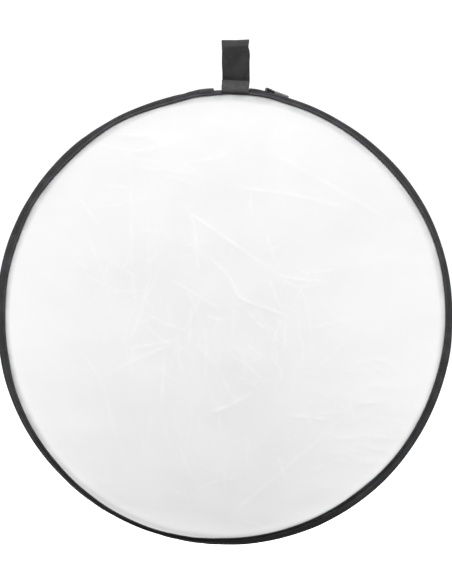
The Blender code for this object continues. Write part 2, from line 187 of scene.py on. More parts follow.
class Graph:
    """Short ways to add and join shader nodes in one tree."""

    def __init__(self, tree):
        self.tree = tree
        self.shader = tree.nodes.get("Principled BSDF")

    def node(self, kind, **settings):
        made = self.tree.nodes.new("ShaderNode" + kind)
        for key, value in settings.items():
            setattr(made, key, value)
        return made

    def link(self, source, target):
        self.tree.links.new(source, target)

    def math(self, operation, *values):
        made = self.node("Math", operation=operation)
        for socket, value in zip(made.inputs, values):
            if isinstance(value, (int, float)):
                socket.default_value = value
            else:
                self.link(value, socket)
        return made.outputs[0]

    def times(self, *values):
        return self.math("MULTIPLY", *values)

    def plus(self, *values):
        return self.math("ADD", *values)

    def from_axis(self, x, z):
        return self.math("SQRT", self.plus(self.times(x, x), self.times(z, z)))

    def coordinates(self, kind="Object"):
        return self.node("TexCoord").outputs[kind]

    def split(self, vector):
        made = self.node("SeparateXYZ")
        self.link(vector, made.inputs[0])
        return made.outputs

    def scaled(self, vector, scale):
        made = self.node("Mapping")
        self.link(vector, made.inputs["Vector"])
        set_inputs(made, {"Scale": scale})
        return made.outputs[0]

    def noise(self, vector, scale, detail=3.0, roughness=0.5):
        made = self.node("TexNoise")
        self.link(vector, made.inputs["Vector"])
        set_inputs(made, {"Scale": scale, "Detail": detail, "Roughness": roughness})
        return made.outputs[0]

    def remap(self, value, low, high, to_low=0.0, to_high=1.0, smooth=False):
        made = self.node("MapRange", interpolation_type="SMOOTHSTEP" if smooth else "LINEAR")
        self.link(value, made.inputs["Value"])
        set_inputs(made, {"From Min": low, "From Max": high, "To Min": to_low, "To Max": to_high})
        return made.outputs["Result"]

    def mix(self, factor, first, second):
        made = self.node("Mix", data_type="RGBA")
        self.link(factor, made.inputs["Factor"])
        for socket, value in ((made.inputs["A"], first), (made.inputs["B"], second)):
            if isinstance(value, tuple):
                socket.default_value = (*value, 1)
            else:
                self.link(value, socket)
        return made.outputs["Result"]

    def color(self, socket):
        self.link(socket, self.shader.inputs["Base Color"])

    def roughness(self, socket):
        self.link(socket, self.shader.inputs["Roughness"])

    def bump(self, height, distance, strength):
        made = self.node("Bump")
        set_inputs(made, {"Distance": distance, "Strength": strength})
        self.link(height, made.inputs["Height"])
        self.link(made.outputs["Normal"], self.shader.inputs["Normal"])

    def attribute(self, name):
        return self.node("Attribute", attribute_name=name).outputs["Fac"]


def weave(graph, coordinates, pitch):
    """Height of a plain weave: over and under threads, `pitch` metres apart."""
    x, y, _ = graph.split(coordinates)
    turn = math.pi / pitch
    across = graph.math("SINE", graph.times(x, turn))
    along = graph.math("SINE", graph.times(y, turn))
    return graph.times(across, along)


def panel_material(name, color, crease_highlight_color, roughness, pitch, casing_shade_tint=None, metallic=0.0,
                   sheen=0.0, specular=0.3, sides=None):
    """Thin coated fabric: weave, crease lines with a painted highlight on their ridges, soft blotches,
    painted light towards the sides, and the hoop behind it as painted shade.
    """
    mat, graph = new_material(name, color, roughness, metallic, specular, sheen)
    place = graph.coordinates()
    x, _, z = graph.split(place)
    radius = graph.from_axis(x, z)
    blotch = graph.noise(place, 9.0, 4.0, 0.55)
    base = graph.mix(graph.remap(blotch, 0.35, 0.65, smooth=True), tinted(color, 0.972), color)
    # Painted light: the face is lighter towards its left and right edges, most from the middle down,
    # standing in for the brighter light there.
    if sides:
        side_light_mask = graph.remap(graph.math("ABSOLUTE", x), 0.06, 0.27)
        base = graph.mix(graph.times(side_light_mask, graph.remap(z, 0.16, -0.08)), base, sides)
    # painted highlight: lighter along each crease's ridge
    base = graph.mix(graph.attribute("crease"), base, crease_highlight_color)
    # painted shade in a ring over the hoop and its casing
    if casing_shade_tint:
        base = graph.mix(casing_shadow(graph, place, x, z, radius), base, casing_shade_tint)
    graph.color(base)
    combined = graph.node("CombineXYZ")
    graph.link(x, combined.inputs[0])
    graph.link(z, combined.inputs[1])
    fine = weave(graph, combined.outputs[0], pitch)
    level = graph.noise(graph.scaled(place, (12, 1, 34)), 1.0, 2.5)      # ruffles run across
    level = graph.times(level, graph.remap(radius, 0.1, 0.28, 0.25, 1.1))
    wrinkle = graph.noise(place, 30.0, 3.0)
    height = graph.times(fine, 0.04)
    height = graph.plus(height, graph.times(level, 2.3))
    height = graph.plus(height, graph.times(wrinkle, 0.45))
    graph.bump(height, 0.4 * MM, 0.6)
    graph.roughness(graph.remap(blotch, 0.3, 0.7, roughness - 0.06, roughness + 0.06))
    return mat


def casing_shadow(graph, place, x, z, radius):
    """How far the hoop's dark casing shows through the fabric, painted in as shade: a soft, uneven ring,
    stronger to the left and faint at the bottom.
    """
    wobble = graph.times(graph.math("SUBTRACT", graph.noise(place, 11.0, 2.0), 0.5), 4.0 * MM)
    radius = graph.plus(radius, wobble)
    ring = graph.remap(radius, CASING_OUTER - 8.2 * MM, CASING_OUTER + 1.6 * MM, smooth=True)
    turn = graph.math("ARCTAN2", x, z)
    stitch = graph.math("SINE", graph.times(turn, CASING_OUTER * math.tau / (3.4 * MM)))
    patchy = graph.noise(place, 34.0, 3.0)
    leftward = graph.remap(x, -0.29, 0.29, 1.0, 0.62)
    upward = graph.remap(z, -0.27, -0.06, 0.16, 1.0, smooth=True)
    amount = graph.times(ring, graph.remap(patchy, 0.3, 0.7, 0.5, 1.0))
    amount = graph.times(amount, graph.times(leftward, upward))
    return graph.times(amount, graph.remap(stitch, -1.0, 1.0, 0.94, 1.0))


def ribbon_material(name, color, roughness, rib=0.9 * MM, width=None, foot=None):
    """Narrow woven tape; UV runs along and across it in metres.

    With a `width`, its two selvages are darker: painted shade along the rounded edges.
    With a `foot`, it takes that darker tone low on the rim, as in the photo: painted shade
    where the rim faces down, away from the light above.
    """
    mat, graph = new_material(name, color, roughness, specular=0.3, sheen=0.1, sheen_roughness=0.4)
    uv = graph.coordinates("UV")
    fine = weave(graph, uv, rib)
    u, v, _ = graph.split(uv)
    ribs = graph.math("SINE", graph.times(u, math.tau / rib))
    height = graph.plus(graph.times(ribs, 0.4), graph.times(fine, 0.6))
    lint = graph.noise(graph.coordinates(), 60.0, 4.0, 0.6)
    lighter = tuple(min(1.0, c * 1.9 + 0.006) for c in color)
    base = graph.mix(graph.remap(lint, 0.35, 0.75, smooth=True), color, lighter)
    # painted shade: darker low on the rim, where it faces down away from the light above
    if foot:
        x, _, z = graph.split(graph.coordinates())
        low = graph.math("SUBTRACT", graph.times(x, 0.242), graph.times(z, 0.970))
        base = graph.mix(graph.remap(low, 0.262, 0.295, smooth=True), base, foot)
    # painted shade along the two rounded selvages
    if width:
        middle = graph.math("ABSOLUTE", graph.math("SINE", graph.times(v, math.pi / width)))
        selvage_shade = graph.remap(middle, 0.05, 0.2, 0.62, 0.0, smooth=True)
        base = graph.mix(selvage_shade, base, tinted(color, 0.25))
    graph.color(graph.mix(graph.remap(height, -1.0, 1.0, 0.0, 0.35), base, tinted(color, 0.45)))
    graph.bump(height, 0.12 * MM, 0.8)
    graph.roughness(graph.remap(lint, 0.3, 0.7, roughness - 0.08, roughness + 0.08))
    return mat


def thread_material(name, color):
    mat, graph = new_material(name, color, 0.55, specular=0.4, sheen=0.3)
    twist = graph.node("TexWave", bands_direction="DIAGONAL")
    graph.link(graph.coordinates(), twist.inputs["Vector"])
    set_inputs(twist, {"Scale": 900.0})
    graph.bump(twist.outputs["Fac"], 0.05 * MM, 0.6)
    graph.color(graph.mix(twist.outputs["Fac"], color, tinted(color, 0.6)))
    return mat


def metal_material(name, color, roughness, metallic, specular=0.5):
    mat, graph = new_material(name, color, roughness, metallic, specular)
    place = graph.coordinates()
    fine = graph.noise(graph.scaled(place, (1, 1, 12)), 300.0, 4.0)
    broad = graph.noise(place, 120.0, 3.0)
    graph.color(graph.mix(graph.remap(broad, 0.35, 0.65), tinted(color, 0.72), color))
    graph.roughness(graph.remap(fine, 0.3, 0.7, roughness - 0.08, roughness + 0.12))
    graph.bump(fine, 0.03 * MM, 0.3)
    return mat


def nylon_material(name, color):
    """Slightly glossy monofilament of the zip's coil."""
    mat, graph = new_material(name, color, 0.32)
    dust = graph.noise(graph.coordinates(), 500.0, 3.0)
    graph.color(graph.mix(graph.remap(dust, 0.4, 0.7), color, tinted(color, 2.2)))
    graph.roughness(graph.remap(dust, 0.3, 0.7, 0.28, 0.42))
    graph.bump(dust, 0.02 * MM, 0.4)
    return mat


def make_materials():
    return {
        # each panel's second colour is a painted highlight along its crease ridges
        "white": panel_material("white_coated_fabric", (0.845, 0.845, 0.845), (0.915, 0.915, 0.915),
                                # casing tint: painted shade over the hoop
                                0.62, 0.35 * MM, casing_shade_tint=(0.27, 0.27, 0.275),
                                # sides: painted light towards the left and right edges
                                sides=(0.91, 0.91, 0.91)),
        "black": panel_material("black_woven_fabric", (0.012, 0.012, 0.013),
                                (0.03, 0.03, 0.032), 0.66, 0.45 * MM, sheen=0.15),
        "silver": panel_material("silver_coated_lining", (0.7, 0.71, 0.73), (0.86, 0.86, 0.88),
                                 0.36, 0.5 * MM, metallic=0.8, specular=0.5),
        "gold": panel_material("gold_coated_lining", (0.86, 0.57, 0.2), (0.96, 0.74, 0.36),
                               0.42, 0.5 * MM, metallic=0.45, specular=0.5),
        "diffuser": panel_material("translucent_diffuser", (0.76, 0.765, 0.76),
                                   (0.84, 0.84, 0.84), 0.6, 0.3 * MM),
        "ribbon": ribbon_material("black_binding_ribbon", (0.03, 0.03, 0.032), 0.66),
        # the tape takes painted shade low on the rim
        "tape": ribbon_material("black_zip_tape", (0.027, 0.027, 0.029), 0.7, rib=0.7 * MM,
                                foot=(0.007, 0.007, 0.0075)),
        # webbing and base take painted shade along their selvages
        "webbing": ribbon_material("black_webbing", (0.0155, 0.0155, 0.0163), 0.62, rib=1.1 * MM,
                                   width=LOOP_VISIBLE_WIDTH + 0.9 * MM),
        "base": ribbon_material("black_base_webbing", (0.026, 0.026, 0.0275), 0.62, rib=1.1 * MM,
                                width=LOOP_VISIBLE_WIDTH + 0.3 * MM),
        "thread": thread_material("black_thread", (0.03, 0.03, 0.033)),
        "coil": nylon_material("black_nylon_coil", (0.012, 0.012, 0.013)),
        "stop": metal_material("black_stop_metal", (0.04, 0.04, 0.042), 0.42, 0.7),
        "enamel": metal_material("slider_enamel", (0.018, 0.018, 0.02), 0.4, 0.0),
        "pull": metal_material("grey_pull_metal", (0.17, 0.17, 0.175), 0.6, 0.0, specular=0.15),
        "steel": metal_material("blued_spring_steel", (0.36, 0.38, 0.42), 0.3, 1.0),
        "ferrule": metal_material("ferrule_aluminium", (0.7, 0.7, 0.71), 0.35, 1.0),
    }


# ---- mesh tools

def dress(mesh, mat, sharp=None):
    """One material and smooth shading, with edges over `sharp` degrees left sharp."""
    mesh.materials.clear()
    mesh.materials.append(mat)
    mesh.shade_smooth()
    if sharp is not None:
        mesh.set_sharp_from_angle(angle=math.radians(sharp))


def mesh_object(name, vertices, faces, mat, uv=None, sharp=None):
    mesh = bpy.data.meshes.new(name)
    mesh.from_pydata([tuple(v) for v in vertices], [], [tuple(f) for f in faces])
    if uv is not None:
        layer = mesh.uv_layers.new(name="metres")
        layer.data.foreach_set("uv", np.asarray(uv, np.float32).ravel())
    dress(mesh, mat, sharp)
    return placed(name, mesh)


def outward(obj):
    """Turn a closed mesh's faces outwards."""
    work = bmesh.new()
    work.from_mesh(obj.data)
    if work.calc_volume(signed=True) < 0:
        bmesh.ops.reverse_faces(work, faces=work.faces)
        work.to_mesh(obj.data)
    work.free()
    return obj


def grid_mesh(name, points, mat, ring, along, across, sharp):
    """Tube through rows of points, a ring or with capped ends; UV from the two distances."""
    rows, columns = points.shape[:2]
    faces, uv = [], []
    for i in range(rows if ring else rows - 1):
        k = (i + 1) % rows
        for j in range(columns):
            m = (j + 1) % columns
            faces.append((i * columns + j, i * columns + m, k * columns + m, k * columns + j))
            uv += [(along[i], across[j]), (along[i], across[j + 1]),
                   (along[i + 1], across[j + 1]), (along[i + 1], across[j])]
    if not ring:
        for row, order in ((0, -1), (rows - 1, 1)):
            cap = [row * columns + j for j in range(columns)][::order]
            faces.append(cap)
            uv += [(along[row], across[j]) for j in range(columns)][::order]
    return outward(mesh_object(name, points.reshape(-1, 3), faces, mat, uv, sharp))


def distances(line):
    """How far along a line each of its points is."""
    return np.concatenate([[0], np.cumsum(np.linalg.norm(np.diff(line, axis=0), axis=1))])


def normals(line):
    """Unit normals, a quarter turn to the left of a flat line's run."""
    tangent = np.gradient(line, axis=0)
    tangent /= np.linalg.norm(tangent, axis=1)[:, None]
    return np.column_stack([-tangent[:, 1], tangent[:, 0]])


def smooth_line(points, count):
    """Points evenly spaced along a Catmull-Rom curve through a few points."""
    p = np.array(points, float)
    p = np.vstack([2 * p[0] - p[1], p, 2 * p[-1] - p[-2]])
    spans = len(p) - 3
    fine = []
    for i in range(spans):
        t = np.linspace(0, 1, 24, endpoint=False)[:, None]
        a, b, c, d = p[i:i + 4]
        fine.append(0.5 * (2 * b + (c - a) * t + (2 * a - 5 * b + 4 * c - d) * t ** 2
                           + (3 * b - a - 3 * c + d) * t ** 3))
    fine = np.vstack([*fine, p[-2:-1]])
    step = distances(fine)
    wanted = np.linspace(0, step[-1], count)
    return np.column_stack([np.interp(wanted, step, fine[:, k]) for k in range(p.shape[1])])


def thickened(line, thickness):
    """Closed outline of a line given a thickness, both faces joined at the ends."""
    half = normals(line) * thickness / 2
    return np.vstack([line + half, (line - half)[::-1]])


def rim_point(angle, radius, depth, side):
    """World points for degrees round the rim, radius and depth on one side."""
    a = np.radians(angle)
    return np.stack([radius * np.sin(a), side * depth + 0 * radius, radius * np.cos(a)], axis=-1)


def sweep(name, angles, section, side, mat, ring=False):
    """Section(angle) of (radius, depth) points carried round the rim."""
    sections = [np.asarray(section(a)) for a in angles]
    points = np.array([rim_point(a, s[:, 0], s[:, 1], side) for a, s in zip(angles, sections)])
    across = distances(np.vstack([sections[0], sections[0][:1]]))
    along = np.radians(np.append(angles, angles[0] + 360.0)) * RIM
    return grid_mesh(name, points, mat, ring, along, across, sharp=40)


def full_turn(step=0.5):
    return np.arange(0, 360, step)


def part_turn(start, end, step):
    return np.linspace(start, end, max(3, int(round((end - start) / step)) + 1))


def around(controls):
    """Smooth closed curve through (angle, value in mm) control points."""
    angles = np.array([a for a, _ in controls], float)
    values = np.array([v for _, v in controls], float) * MM
    angles = np.append(angles, angles[0] + 360)
    values = np.append(values, values[0])

    def value(angle):
        a = (np.asarray(angle, float) - angles[0]) % 360 + angles[0]
        i = np.clip(np.searchsorted(angles, a, side="right") - 1, 0, len(angles) - 2)
        t = (a - angles[i]) / (angles[i + 1] - angles[i])
        return values[i] + (values[i + 1] - values[i]) * t * t * (3 - 2 * t)

    return value


# The rim isn't quite true. How far its outside stands from the nominal radius,
# where the ribbons' inner edges lie, and how much the bands slope (in hundredths
# of a millimetre per millimetre) at angles round it.
outer_shift = around([(-13.5, -2.0), (-11.2, -0.6), (-9.5, 0.4), (-7, 0.5), (-4, 0.1), (0, 0.0),
                      (10, 0.0), (17, -0.5), (28, -0.9),
                      (57, 0.7), (88, -0.5), (97, 0.0), (108, -0.1), (147, 1.1), (165, 0.6),
                      (182, -0.6), (197, -1.0), (217, -0.2), (247, 0.5), (259, -0.4), (287, 1.2),
                      (312, 0.6), (328, -1.5), (338, -2.5)])
front_inner = around([(0, 292.4), (7, 293.2), (14, 291.4), (42, 289.9), (66, 291.8), (87, 289.9),
                      (107, 288.5), (127, 288.9), (139, 288.1), (162, 289.5), (177, 290.5),
                      (187, 292.3), (197, 293.4), (207, 293.2), (217, 292.4), (228, 291.5),
                      (237, 291.5), (247, 290.7), (258, 288.5), (267, 288.1), (280, 289.3),
                      (287, 289.1), (298, 290.8), (312, 288.8), (327, 290.3), (342, 288.0),
                      (352, 291.0)])
rear_inner = around([(0, 291.8), (60, 290.6), (130, 291.6), (200, 290.2), (270, 291.4),
                     (320, 290.4)])
front_slope = around([(0, 12), (90, 14), (130, 26), (160, 52), (178, 64), (192, 50), (204, 34),
                      (220, 40), (245, 22), (290, 12)])
rear_slope = around([(0, 12), (180, 12)])
SHOULDER_PUFF = 2.1 * MM        # the tapes' free ends stand up beside the loop


def outer(angle):
    return RIM + outer_shift(angle)


def puff(angle):
    """Extra height of the tape's shoulder between its end and the slider's mouth."""
    return SHOULDER_PUFF * np.interp(angle, [TAPE_START, 5.0, 6.4, 7.3, 7.6], [0.95, 1.1, 1.1, 0.85, 0.05])


class Band:
    """Where one cover's ribbon and tape lie: distances run out from the inner edge."""

    def __init__(self, inner_edge, slope):
        self.inner_edge, self.slope = inner_edge, slope

    def at(self, angle, distance, depth):
        """(radius, depth) of a point `distance` out from the ribbon's inner edge."""
        tilt = np.arctan(self.slope(angle) / (100 * MM))
        return (self.inner_edge(angle) + distance * np.cos(tilt), depth - distance * np.sin(tilt))


BANDS = {FRONT: Band(front_inner, front_slope), REAR: Band(rear_inner, rear_slope)}


# ---- flat panels

def crease_points(creases, spacing=3.2 * MM):
    """Rows of mesh points along each crease, so that its ridge is sharp."""
    found = []
    for line, _, width in creases:
        length = distances(line)[-1]
        along = smooth_line(line, max(4, int(length / spacing)))
        normal = normals(along)
        for offset in (-4.5, -1.6, -0.55, 0.0, 0.55, 1.6, 4.5):
            found.append(along + normal * offset * width)
    return np.vstack(found)


def disc_mesh(radius, cell, creases):
    """Triangles over a disc: fine at its edge and along the creases."""
    count = int(radius / cell) + 1
    grid = np.arange(-count, count + 1) * cell
    u, v = np.meshgrid(grid, grid * 0.87)
    u = u + cell / 2 * (np.arange(len(grid))[:, None] % 2)
    inside = np.column_stack([u.ravel(), v.ravel()])
    inside = inside[np.hypot(*inside.T) < radius - 13 * MM]
    rings = []
    for inset in (0.0, 0.8, 1.7, 2.7, 3.8, 5.0, 6.3, 7.7, 9.2, 11.0):
        turn = np.linspace(0, math.tau, 480, endpoint=False)
        rings.append(np.column_stack([np.sin(turn), np.cos(turn)]) * (radius - inset * MM))
    ridge = crease_points(creases)
    ridge = ridge[np.hypot(*ridge.T) < radius - 12.5 * MM]
    points = np.vstack([*rings, ridge, inside])
    _, keep = np.unique(np.round(points / (0.45 * MM)).astype(int), axis=0, return_index=True)
    points = points[np.sort(keep)]
    vertices, _, faces, *_ = delaunay_2d_cdt([Vector(p) for p in points], [], [], 0, 1e-6)
    vertices = np.array([tuple(v) for v in vertices])
    return vertices[:, 0], vertices[:, 1], np.array(faces)


def crease_field(x, z, creases):
    """Height of the ridges, steep on one side, and how creased each point is, which sets the painted
    highlight along each ridge.
    """
    height, ridge_highlight = np.zeros_like(x), np.zeros_like(x)
    for line, lift, width in creases:
        fine = smooth_line(line, 14)
        step = distances(fine)
        reach = 14 * MM
        low, high = fine.min(0) - reach, fine.max(0) + reach
        near = np.where((x > low[0]) & (x < high[0]) & (z > low[1]) & (z < high[1]))[0]
        if len(near) == 0:
            continue
        best = np.full(len(near), 1e9)
        share, side = np.zeros(len(near)), np.zeros(len(near))
        for i in range(len(fine) - 1):
            a, d = fine[i], fine[i + 1] - fine[i]
            px, pz = x[near] - a[0], z[near] - a[1]
            t = np.clip((px * d[0] + pz * d[1]) / (d @ d), 0, 1)
            off = np.hypot(px - t * d[0], pz - t * d[1])
            closer = off < best
            best[closer] = off[closer]
            share[closer] = ((step[i] + t * np.linalg.norm(d)) / step[-1])[closer]
            side[closer] = np.sign(px * d[1] - pz * d[0])[closer]
        ends = np.clip(np.minimum(share, 1 - share) * 4, 0, 1)
        uneven = 0.75 + 0.25 * np.sin(share * 19 + lift * 9e4)
        slope = np.where(side > 0, width, 3.6 * width)
        height[near] += lift * np.exp(-best / slope) * ends * uneven
        strength = ends * uneven * min(1.0, lift / (0.26 * MM))
        ridge_highlight[near] = np.maximum(ridge_highlight[near], np.exp(-(best / (0.75 * width)) ** 2) * strength)
    return height, ridge_highlight


def as_seen(points):
    """Points given in millimetres across and up the view, turned into the frame."""
    c, n = math.cos(CAMERA_ROLL), math.sin(CAMERA_ROLL)
    return np.array([(x * c - z * n, z * c + x * n) for x, z in points]) * MM


def main_creases():
    """The clearest ridges of the white face, each with its height and width."""
    ridges = [
        (0.8, [(-65, 150), (-28, 124), (10, 97), (62, 62)]), (0.6, [(56, 53), (76, 6)]),
        (0.9, [(-28, 85), (6, 52), (17, 28), (35, 18), (76, 3), (99, -14)]),
        (0.6, [(-75, 52), (-40, 31), (-3, 8)]), (0.7, [(-163, -80), (-120, -58), (-58, -31)]),
        (0.7, [(-130, -42), (-59, -31)]), (0.5, [(-94, 71), (-112, 0), (-135, -48)]),
        (0.9, [(64, 56), (100, 49), (139, 47)]), (0.5, [(58, -48), (74, -73), (72, -89)]),
        (0.5, [(-41, 31), (-49, -47)]), (0.5, [(-216, -16), (-165, -80), (-150, -130), (-134, -188)]),
        (0.6, [(-52, 150), (-40, 119), (-34, 53)]), (0.35, [(-185, 120), (-160, 55), (-144, -3)]),
        (0.6, [(64, 53), (97, 40), (139, 46)]), (0.4, [(13, 27), (10, -23)]),
        (0.5, [(79, 2), (78, -46)]), (0.35, [(-124, 190), (-122, 56)]), (0.5, [(-78, -38), (-84, -122)]),
        (0.5, [(99, -18), (140, -8), (179, 3)]), (1.0, [(-29, -130), (8, -116), (40, -97)]),
        (1.0, [(80, -130), (115, -133), (149, -137)]), (0.6, [(159, -64), (205, -57), (238, -80)]),
        (0.35, [(113, -77), (179, -11)]), (0.4, [(-5, -270), (60, -215), (130, -155), (192, -97)]),
        (0.4, [(47, 226), (140, 172), (230, 120)]), (0.6, [(1, 173), (70, 163), (120, 153), (166, 140)]),
        (0.4, [(34, 166), (34, 137)]), (0.3, [(-140, 199), (-70, 192), (-5, 180)]),
        (0.5, [(-137, 239), (-78, 236)]), (0.4, [(-137, 212), (-85, 224)]),
        (0.5, [(126, -162), (170, -160), (225, -164)]), (0.3, [(-216, -77), (-196, -162)]),
        (0.4, [(100, -205), (150, -190), (200, -195)]), (0.3, [(-62, 60), (-30, -10), (-20, -70)])]
    return [(as_seen(line), 0.3 * weight * MM, 2.3 * MM) for weight, line in ridges]


def random_creases(count, middle, spread, seed, turns=(1.2, 1.55, 1.85, 2.6, 0.2)):
    """Slightly bent ridges of mixed length, gathered round one place on the disc."""
    draw = np.random.default_rng(seed)
    found = []
    for _ in range(count):
        centre = np.array(middle) + draw.normal(0, 1, 2) * spread
        turn = draw.choice(turns) + draw.normal(0, 0.2)
        half = draw.uniform(10, 38) * MM
        ahead = np.array([math.cos(turn), math.sin(turn)])
        bend = np.array([-ahead[1], ahead[0]]) * draw.normal(0, 0.09) * half
        line = np.array([centre - ahead * half, centre + bend, centre + ahead * half])
        lift = draw.uniform(0.04, 0.15) * MM
        found.append((line, lift, draw.uniform(1.2, 2.0) * MM))
    return found


def soft_folds(x, z, seed, size):
    """Broad, shallow waves of a fabric that isn't pulled quite flat."""
    draw = np.random.default_rng(seed)
    total = np.zeros_like(x)
    for _ in range(14):
        turn, wave = draw.normal(math.pi / 2, 0.45), draw.uniform(0.05, 0.2)
        phase = draw.uniform(0, math.tau)
        total += wave * np.sin((x * math.cos(turn) + z * math.sin(turn)) / wave * math.tau + phase)
    return total * size


def panel(name, radius, depth, side, mat, cell, creases, folds, hump=0.0, under=None):
    """Round of fabric on one side; `under` is the band that its edge is sewn beneath."""
    x, z, faces = disc_mesh(radius, cell * (1.0), creases)
    r = np.hypot(x, z)
    height, ridge_highlight = crease_field(x, z, creases)
    hold = np.clip((radius - r) / (25 * MM), 0, 1)
    hold = hold * hold * (3 - 2 * hold)
    height = (height + soft_folds(x, z, *folds)) * hold
    height += hump * np.exp(-((r - HOOP_RADIUS + 0.5 * MM) / (3.2 * MM)) ** 2)
    out = depth + height
    if under:
        angle = np.degrees(np.arctan2(x, z))
        covered = r - under.inner_edge(angle)
        ceiling = under.at(angle, np.maximum(covered, 0), TAPE_DEPTH - 0.9 * MM)[1]
        out = np.where(covered > 0.8 * MM, np.minimum(out, ceiling), out)
    points = np.stack([x, side * out, z], axis=-1)
    if side == REAR:
        faces = faces[:, ::-1]
    obj = mesh_object(name, points, faces, mat)
    # how strongly each point takes the painted ridge highlight
    attribute = obj.data.attributes.new("crease", "FLOAT", "POINT")
    attribute.data.foreach_set("value", ridge_highlight.astype(np.float32))
    return obj


def make_panels():
    left, centre, low = (-0.12, 0.02), (0.02, -0.02), (0.03, -0.17)
    creases = main_creases()
    creases += (random_creases(38, left, 0.06, 1) + random_creases(62, centre, 0.065, 2)
                + random_creases(28, low, 0.08, 3))
    creases += (random_creases(30, (0.19, -0.13), 0.05, 9, (0.0, 0.14, -0.12))
                + random_creases(14, (-0.09, 0.2), 0.05, 10, (0.0, 0.14, -0.12)))
    facing = PANEL_RADIUS + 1.3 * MM

    white = panel("white_panel", facing, PANEL_DEPTH, FRONT, MATS["white"], 6.5 * MM, creases,
                  hump=0.35 * MM, folds=(11, 0.00035), under=BANDS[FRONT])
    black = panel("black_panel", facing, PANEL_DEPTH, REAR, MATS["black"], 7 * MM,
                  random_creases(110, (0, 0), 0.11, 4), hump=0.35 * MM, folds=(12, 0.0004),
                  under=BANDS[REAR])
    silver = panel("silver_lining", PANEL_RADIUS - 1.5 * MM, LINING_DEPTH, FRONT, MATS["silver"],
                   7 * MM, random_creases(70, (0, 0), 0.12, 5), folds=(11, 0.00035))
    gold = panel("gold_lining", PANEL_RADIUS - 1.5 * MM, LINING_DEPTH, REAR, MATS["gold"],
                 7 * MM, random_creases(70, (0, 0), 0.12, 6), folds=(12, 0.0004))
    diffuser = panel("diffuser_fabric", DIFFUSER_RADIUS, 0.0, FRONT, MATS["diffuser"], 8 * MM,
                     random_creases(40, (0, 0), 0.12, 8), folds=(15, 0.0003))
    rows = ((white, "front_white_panel", "front_cover", "white_fabric", "front_zip_tape"),
            (black, "rear_black_panel", "rear_cover", "black_fabric", "rear_zip_tape"),
            (silver, "front_silver_lining", "front_cover", "silver_lining", "front_zip_tape"),
            (gold, "rear_gold_lining", "rear_cover", "gold_lining", "rear_zip_tape"),
            (diffuser, "diffuser_panel", "diffuser", "diffuser_fabric", "hoop_casing"))
    for obj, node, body, slot, edge in rows:
        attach(obj, body)
        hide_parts(node)


# ---- the rim

def ribbon_section(band, width, depth, thickness):
    """Outer ribbon with a slight crown and rolled edges."""
    crown = 0.25 * MM

    def section(angle):
        line = smooth_line([band.at(angle, 0.0, depth - 0.3 * MM), band.at(angle, 0.45 * MM, depth),
                            band.at(angle, width / 2, depth + crown),
                            band.at(angle, width - 0.45 * MM, depth),
                            band.at(angle, width, depth - 0.4 * MM)], 9)
        return thickened(line, thickness)

    return section


def facing_section(_):
    """Flat ribbon inside a cover, behind the zip tape's stitching."""
    line = smooth_line([(RIBBON_OUTER - 4.0 * MM, FACING_DEPTH + 0.2 * MM),
                        (RIBBON_OUTER - 2.0 * MM, FACING_DEPTH + 0.25 * MM),
                        (RIBBON_OUTER, FACING_DEPTH + 0.2 * MM)], 4)
    return thickened(line, 0.35 * MM)


def tape_section(band):
    """Zip tape: flat under the ribbon, then a shoulder, then tucked in to the coil."""

    def section(angle):
        edge = outer(angle) - 0.25 * MM + puff(angle)
        coil = coil_middle(angle)
        d = TAPE_DEPTH - 0.15 * MM
        near, far = band.at(angle, 1.2 * MM, d - 0.1 * MM), band.at(angle, 4.4 * MM, d)
        rise = max(edge - far[0], 1.6 * MM)
        drop = far[1] - coil - 1.9 * MM
        foot = RIM + outer_shift(angle) - 2.1 * MM
        line = smooth_line([near, band.at(angle, 2.8 * MM, d), far,
                            (far[0] + rise * 0.45, far[1] + 0.12 * MM),
                            (far[0] + rise * 0.86, far[1] - drop * 0.22),
                            (edge, far[1] - drop * 0.62), (edge - 0.55 * MM, far[1] - drop),
                            (foot + 0.25 * MM, coil + 1.55 * MM), (foot, coil + 0.6 * MM),
                            (foot, coil - 0.9 * MM)], 26)
        return thickened(line, 0.42 * MM)

    return section


def coil_middle(angle):
    """Depth of a coil's middle: closed, and parting in the slider's mouth."""
    return np.interp(angle, [COIL_START, 7.2, 8.0], [3.3 * MM, 2.5 * MM, 1.38 * MM])


def zip_coil(name, side, mat):
    """Helical nylon filament along the edge of one tape."""
    pitch, per_turn, sides = 1.7 * MM, 8, 5
    turns = int(math.radians(COIL_END - COIL_START) * RIM / pitch)
    t = np.arange(turns * per_turn + 1) / per_turn
    phase = 0.0 if side == FRONT else 0.5
    angle = COIL_START + np.degrees(t * pitch / RIM)
    swing = (t + phase) * math.tau
    half = 1.4 * MM
    depth = coil_middle(angle) - half * np.cos(swing)
    radius = outer(angle) - 0.98 * MM + 0.6 * MM * np.sin(swing)
    line = rim_point(angle, radius, depth, side)
    return tube(name, line, 0.34 * MM, sides, mat)


def tube(name, line, radius, sides, mat):
    """Round filament along a line of points."""
    tangent = np.gradient(line, axis=0)
    tangent /= np.linalg.norm(tangent, axis=1)[:, None]
    guide = np.array([0.31, 0.17, 0.94])
    first = np.cross(tangent, guide)
    first /= np.linalg.norm(first, axis=1)[:, None]
    second = np.cross(tangent, first)
    turn = np.arange(sides) * math.tau / sides
    points = (line[:, None, :] + radius * (np.cos(turn)[None, :, None] * first[:, None, :]
                                           + np.sin(turn)[None, :, None] * second[:, None, :]))
    return outward(mesh_object(name, points.reshape(-1, 3), tube_faces(0, len(line), sides), mat))


